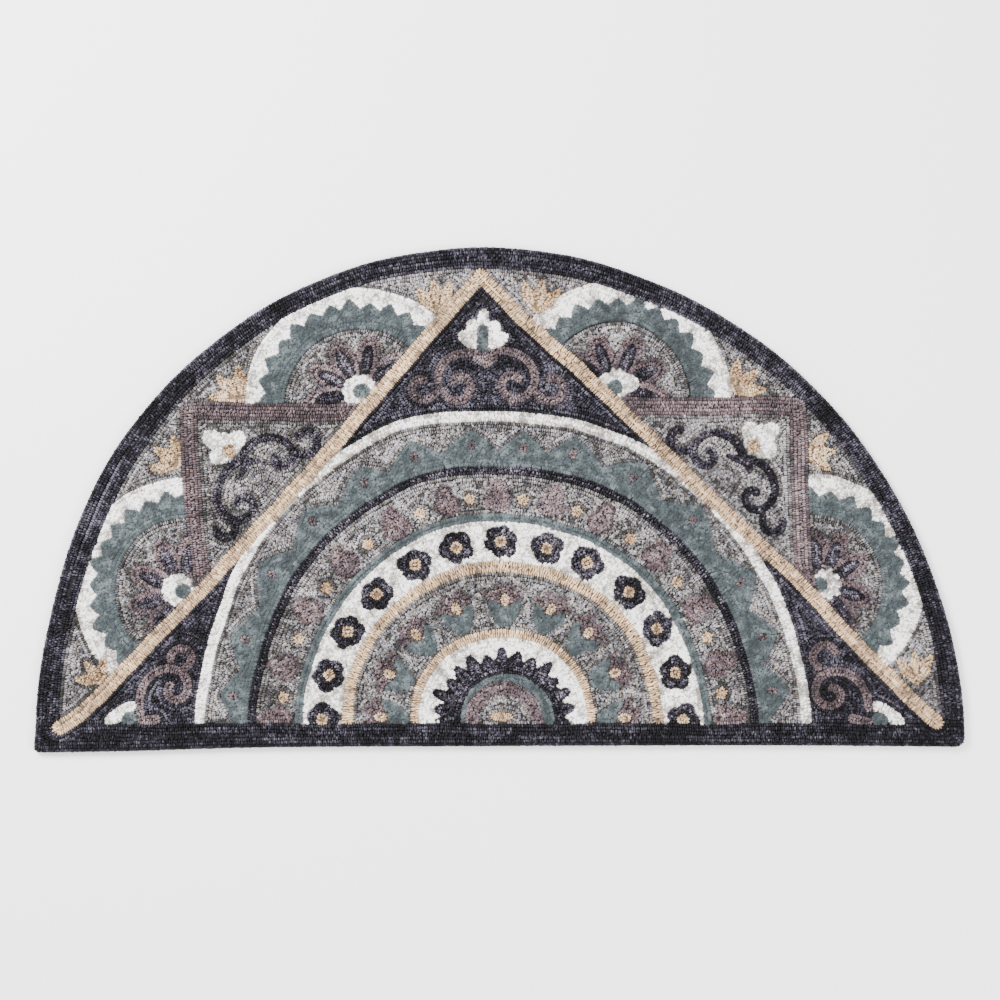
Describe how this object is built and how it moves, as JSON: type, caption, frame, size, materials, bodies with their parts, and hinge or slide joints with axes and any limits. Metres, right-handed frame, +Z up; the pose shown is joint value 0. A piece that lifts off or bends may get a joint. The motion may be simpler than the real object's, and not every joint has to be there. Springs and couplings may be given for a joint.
{
  "type": "hooked rug",
  "caption": "Half-round hooked wool rug with a medallion of rings, rosettes, scrolls and a dark heather border; lies flat on a floor",
  "frame": {"origin": "on the floor, under the middle of the rug's box", "axes": "+X along the straight side, +Y from the straight side to the curved side, +Z up through the pile"},
  "size_m": [1.118, 0.607, 0.011],
  "materials": {
    "charcoal_wool": "looped heather wool pile",
    "grey_wool": "looped salt-and-pepper wool pile",
    "mauve_wool": "looped heather wool pile",
    "beige_wool": "looped wool pile",
    "teal_wool": "cut wool pile",
    "ivory_wool": "cut wool pile",
    "ground_cloth": "plain woven cotton"
  },
  "bodies": {
    "root": {"rug": "charcoal_wool"}
  },
  "joints": []
}
